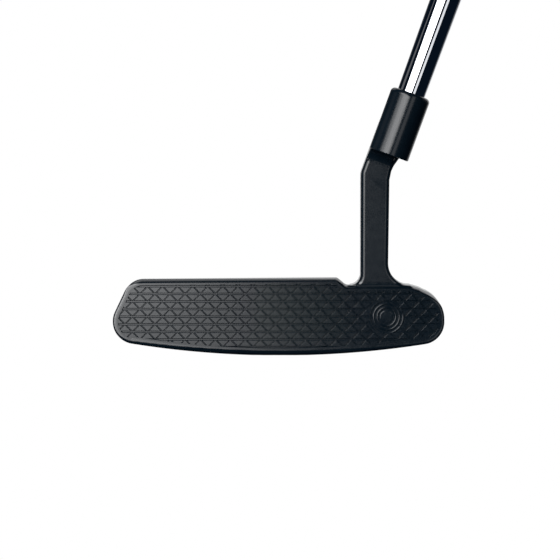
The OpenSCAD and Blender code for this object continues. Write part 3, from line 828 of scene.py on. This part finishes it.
def rubber(name, lo, hi, r0=0.55, r1=0.72, scale=1400, h=0.00006):
    m = Mat(name)
    cloud = m.noise(160, 3)
    pore = m.noise(scale, 3, 0.65)
    col = m.ramp(cloud, [(0.3, lo), (0.7, hi)])
    rough = m.math("ADD", m.span(cloud, 0.3, 0.7, r0, r1), m.span(pore, 0.3, 0.7, -0.04, 0.04))
    return m.set(Base_Color=col, Roughness=rough, Normal=m.bump(pore, 0.35, h))


def paint():
    m = Mat("sight_line_paint")
    cloud = m.noise(700, 3)
    col = m.ramp(cloud, [(0.3, (0.74, 0.74, 0.72)), (0.7, (0.84, 0.84, 0.82))])
    return m.set(Base_Color=col, Roughness=m.span(cloud, 0.3, 0.7, 0.38, 0.5), Normal=m.bump(m.noise(2500, 2), 0.2, 0.00003))


def resin(name, lo, hi):
    m = Mat(name)
    cloud = m.noise(450, 4)
    col = m.ramp(cloud, [(0.3, lo), (0.7, hi)])
    m.set(Base_Color=col, Roughness=m.span(cloud, 0.3, 0.7, 0.22, 0.4), Normal=m.bump(cloud, 0.3, 0.0001))
    m.b.inputs["Subsurface Weight"].default_value = 0.0
    return m.m


def tape():
    m = Mat("crepe_tape")
    v = m.mapped((2200, 2200, 500))
    n = m.noise(1, 3, 0.6, v)
    col = m.ramp(n, [(0.3, (0.62, 0.58, 0.46)), (0.7, (0.74, 0.70, 0.58))])
    return m.set(Base_Color=col, Roughness=0.85, Normal=m.bump(n, 0.5, 0.00008))


# One satin coating in three copies. The lattice copy has a lower specular level. The hosel copy has a lower specular
# level and more roughness. Both are painted shade that makes these parts darker than the head.
M_HEAD = black_coat("satin_black_head", 0.72, 0.12, 0.145)
M_FACE_SHADED_COPY = black_coat("satin_black_lattice_shaded_copy", 0.5, 0.12, 0.145)
M_HOSEL_SHADED_COPY = black_coat("satin_black_hosel_shaded_copy", 0.46, 0.17, 0.20)
M = {
    "head_finish": M_HEAD, "plate_finish": plate_finish(),
    "weight_steel": steel("weight_steel", (0.30, 0.305, 0.315), (0.38, 0.385, 0.395), 0.24, 0.34),
    "screw_steel": steel("screw_steel", (0.42, 0.42, 0.43), (0.52, 0.52, 0.53), 0.2, 0.3),
    "seal_rubber": rubber("seal_rubber", (0.018, 0.018, 0.019), (0.028, 0.028, 0.030), 0.45, 0.6),
    "sight_paint": paint(), "bond": resin("epoxy_bond", (0.62, 0.55, 0.34), (0.72, 0.66, 0.44)),
    "plug": resin("plug_plastic", (0.55, 0.50, 0.38), (0.66, 0.61, 0.48)),
    "shaft_chrome": chrome(), "ring_chrome": steel("ring_chrome", (0.60, 0.61, 0.63), (0.68, 0.69, 0.71), 0.08, 0.14),
    "composite": composite(), "tape": tape(),
    "grip_rubber": rubber("grip_rubber", (0.020, 0.021, 0.023), (0.032, 0.033, 0.036)),
    "cap_plastic": rubber("cap_plastic", (0.016, 0.016, 0.018), (0.026, 0.026, 0.028), 0.32, 0.42, 2200, 0.00003),
}
slot_of = {}
for mname, mslot in (("head_body", "head_finish"), ("hosel", "head_finish"), ("sole_plate", "plate_finish"),
                     ("sole_plate_gasket", "seal_rubber"), ("sole_plate_screws", "screw_steel"),
                     ("toe_weight", "weight_steel"), ("heel_weight", "weight_steel"),
                     ("toe_weight_ring", "seal_rubber"), ("heel_weight_ring", "seal_rubber"), ("sight_line", "sight_paint"),
                     ("shaft_epoxy", "bond"), ("tip_plug", "plug"), ("shaft_tip", "shaft_chrome"), ("shaft_trim_ring", "ring_chrome"),
                     ("joint_epoxy", "bond"), ("shaft_body", "composite"), ("grip_tape", "tape"), ("grip", "grip_rubber"),
                     ("grip_cap", "cap_plastic"), ("counterweight", "weight_steel"), ("counterweight_ring", "seal_rubber"),
                     ("cap_screw", "screw_steel")):
    slot_of[mname] = mslot

# The face lattice and the neck take the darker copies of the head's coating (painted shade); every other piece takes
# its slot's material.
for o, sl in ((head, "head_finish"), (neck, "head_finish"), (lattice, "head_finish"), (shaft_tip, "shaft_chrome"), (trim, "ring_chrome"),
              (shaft_up, "composite"), (grip, "grip_rubber")):
    o.data.materials.clear()
    o.data.materials.append({"neck_and_hosel": M_HOSEL_SHADED_COPY, "face_lattice": M_FACE_SHADED_COPY}.get(o.name, M[sl]))

for name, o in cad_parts.items():
    m = M[slot_of[name]]
    if not o.data.materials:
        o.data.materials.append(m)
    for i in range(len(o.material_slots)):
        o.material_slots[i].link = "OBJECT"
        o.material_slots[i].material = m
    if o.hide_render:
        continue
    w = o.modifiers.new("weld", "WELD"); w.merge_threshold = 2e-6
    d = o.modifiers.new("flat", "DECIMATE"); d.decimate_type = "DISSOLVE"; d.angle_limit = math.radians(1.0)
    b = o.modifiers.new("edge", "BEVEL"); b.width = {"sole_plate": 0.00022, "sole_plate_screws": 0.00008, "sight_line": 0.0001}.get(name, 0.00012)
    b.segments = 2; b.limit_method = "ANGLE"; b.angle_limit = math.radians(32); b.use_clamp_overlap = True; b.harden_normals = False
    n = o.modifiers.new("shade", "WEIGHTED_NORMAL"); n.keep_sharp = True

# ------------------------------------------------------------------ stage, light and camera
sc = bpy.context.scene


def white(name, strength):
    m = bpy.data.materials.new(name); m.use_nodes = True
    t = m.node_tree; t.nodes.clear()
    e = t.nodes.new("ShaderNodeEmission"); e.inputs["Strength"].default_value = strength
    e.inputs["Color"].default_value = (1, 1, 1, 1)
    out = t.nodes.new("ShaderNodeOutputMaterial")
    t.links.new(e.outputs[0], out.inputs["Surface"])
    return m


def camera_only(o):
    o.visible_diffuse = o.visible_glossy = o.visible_transmission = o.visible_volume_scatter = o.visible_shadow = False


bm = bmesh.new(); bmesh.ops.create_grid(bm, x_segments=1, y_segments=1, size=16.0)
me = bpy.data.meshes.new("floor"); bm.to_mesh(me); bm.free()
floor = bpy.data.objects.new("floor", me); sc.collection.objects.link(floor)
floor.location = (0, 0, -0.0006)
floor.data.materials.append(white("pale_floor", 1.0))
bm = bmesh.new(); bmesh.ops.create_uvsphere(bm, u_segments=48, v_segments=24, radius=15.0)
me = bpy.data.meshes.new("backdrop"); bm.to_mesh(me); bm.free()
dome = bpy.data.objects.new("backdrop", me); sc.collection.objects.link(dome)
dome.data.materials.append(white("pale_backdrop", 1.0))
for o in (floor, dome):
    camera_only(o)

world = bpy.data.worlds.new("studio"); sc.world = world; world.use_nodes = True
bg = world.node_tree.nodes["Background"]
bg.inputs["Color"].default_value = (0.10, 0.22, 0.45, 1)
bg.inputs["Strength"].default_value = 0.03

aim = Vector((0.0, -0.0096, 0.02694))
EL = math.radians(4.0)
cam_d = 0.85
cam = bpy.data.cameras.new("camera"); co = bpy.data.objects.new("camera", cam); sc.collection.objects.link(co)
co.location = aim + Vector((0, -math.cos(EL), math.sin(EL))) * cam_d
co.rotation_mode = "QUATERNION"
co.rotation_quaternion = (aim - co.location).to_track_quat("-Z", "Y")
cam.sensor_width = 36; cam.lens = 36 * 850 / 199.64
cam.clip_start, cam.clip_end = 0.01, 60
sc.camera = co


def box_light(name, az, el, dist, w, h, lum, tint=(1, 1, 1)):
    """A softbox at az degrees to the camera's right and el degrees up, lum bright, w by h metres, aimed at the head."""
    a, e = math.radians(az), math.radians(el)
    d = Vector((math.sin(a) * math.cos(e), -math.cos(a) * math.cos(e), math.sin(e)))
    L = bpy.data.lights.new(name, "AREA"); L.shape = "RECTANGLE"; L.size, L.size_y = w, h
    L.energy = lum * math.pi * w * h
    L.color = tint
    o = bpy.data.objects.new(name, L); sc.collection.objects.link(o)
    o.location = aim + d * dist
    o.rotation_mode = "QUATERNION"
    o.rotation_quaternion = (-d).to_track_quat("-Z", "Z")
    o.visible_camera = False
    return o


def span_light(name, a0, a1, el, h, lum, dist=1.3, tint=(1, 1, 1)):
    mid = (a0 + a1) / 2
    w = 2 * dist * math.tan(math.radians(abs(a1 - a0) / 2))
    return box_light(name, mid, el, dist, w, h, lum, tint)


KEY = 1.3
span_light("key_left", -50, -10, 21, 1.42, 3.2, KEY)
span_light("key_mid", -46, -14, 21, 1.4, 2.2, KEY)
span_light("key_hot", -38, -23, 21, 1.3, 3.2, KEY)
span_light("key_face_a", -20, -6.5, 21, 1.42, 1.0, KEY)
span_light("key_face_b", -20, -4.2, 21, 1.42, 1.0, KEY)
span_light("key_face_c", -20, -2.0, 21, 1.42, 0.5, KEY)
span_light("strip_right", 16, 33, 8, 1.5, 1.05, KEY)
span_light("side_left", -125, -98, 8, 1.5, 0.14)
span_light("side_right", 104, 136, 8, 1.5, 0.12)
box_light("behind_right", 161, 10, 1.6, 1.5, 2.2, 0.85)
box_light("behind_left", -163, 10, 1.6, 0.8, 2.2, 0.08)
box_light("over", -25, 62, 1.6, 1.2, 1.2, 0.2)
box_light("crown", 180, 42, 1.6, 2.0, 0.8, 0.6)

sc.view_settings.view_transform = "Standard"
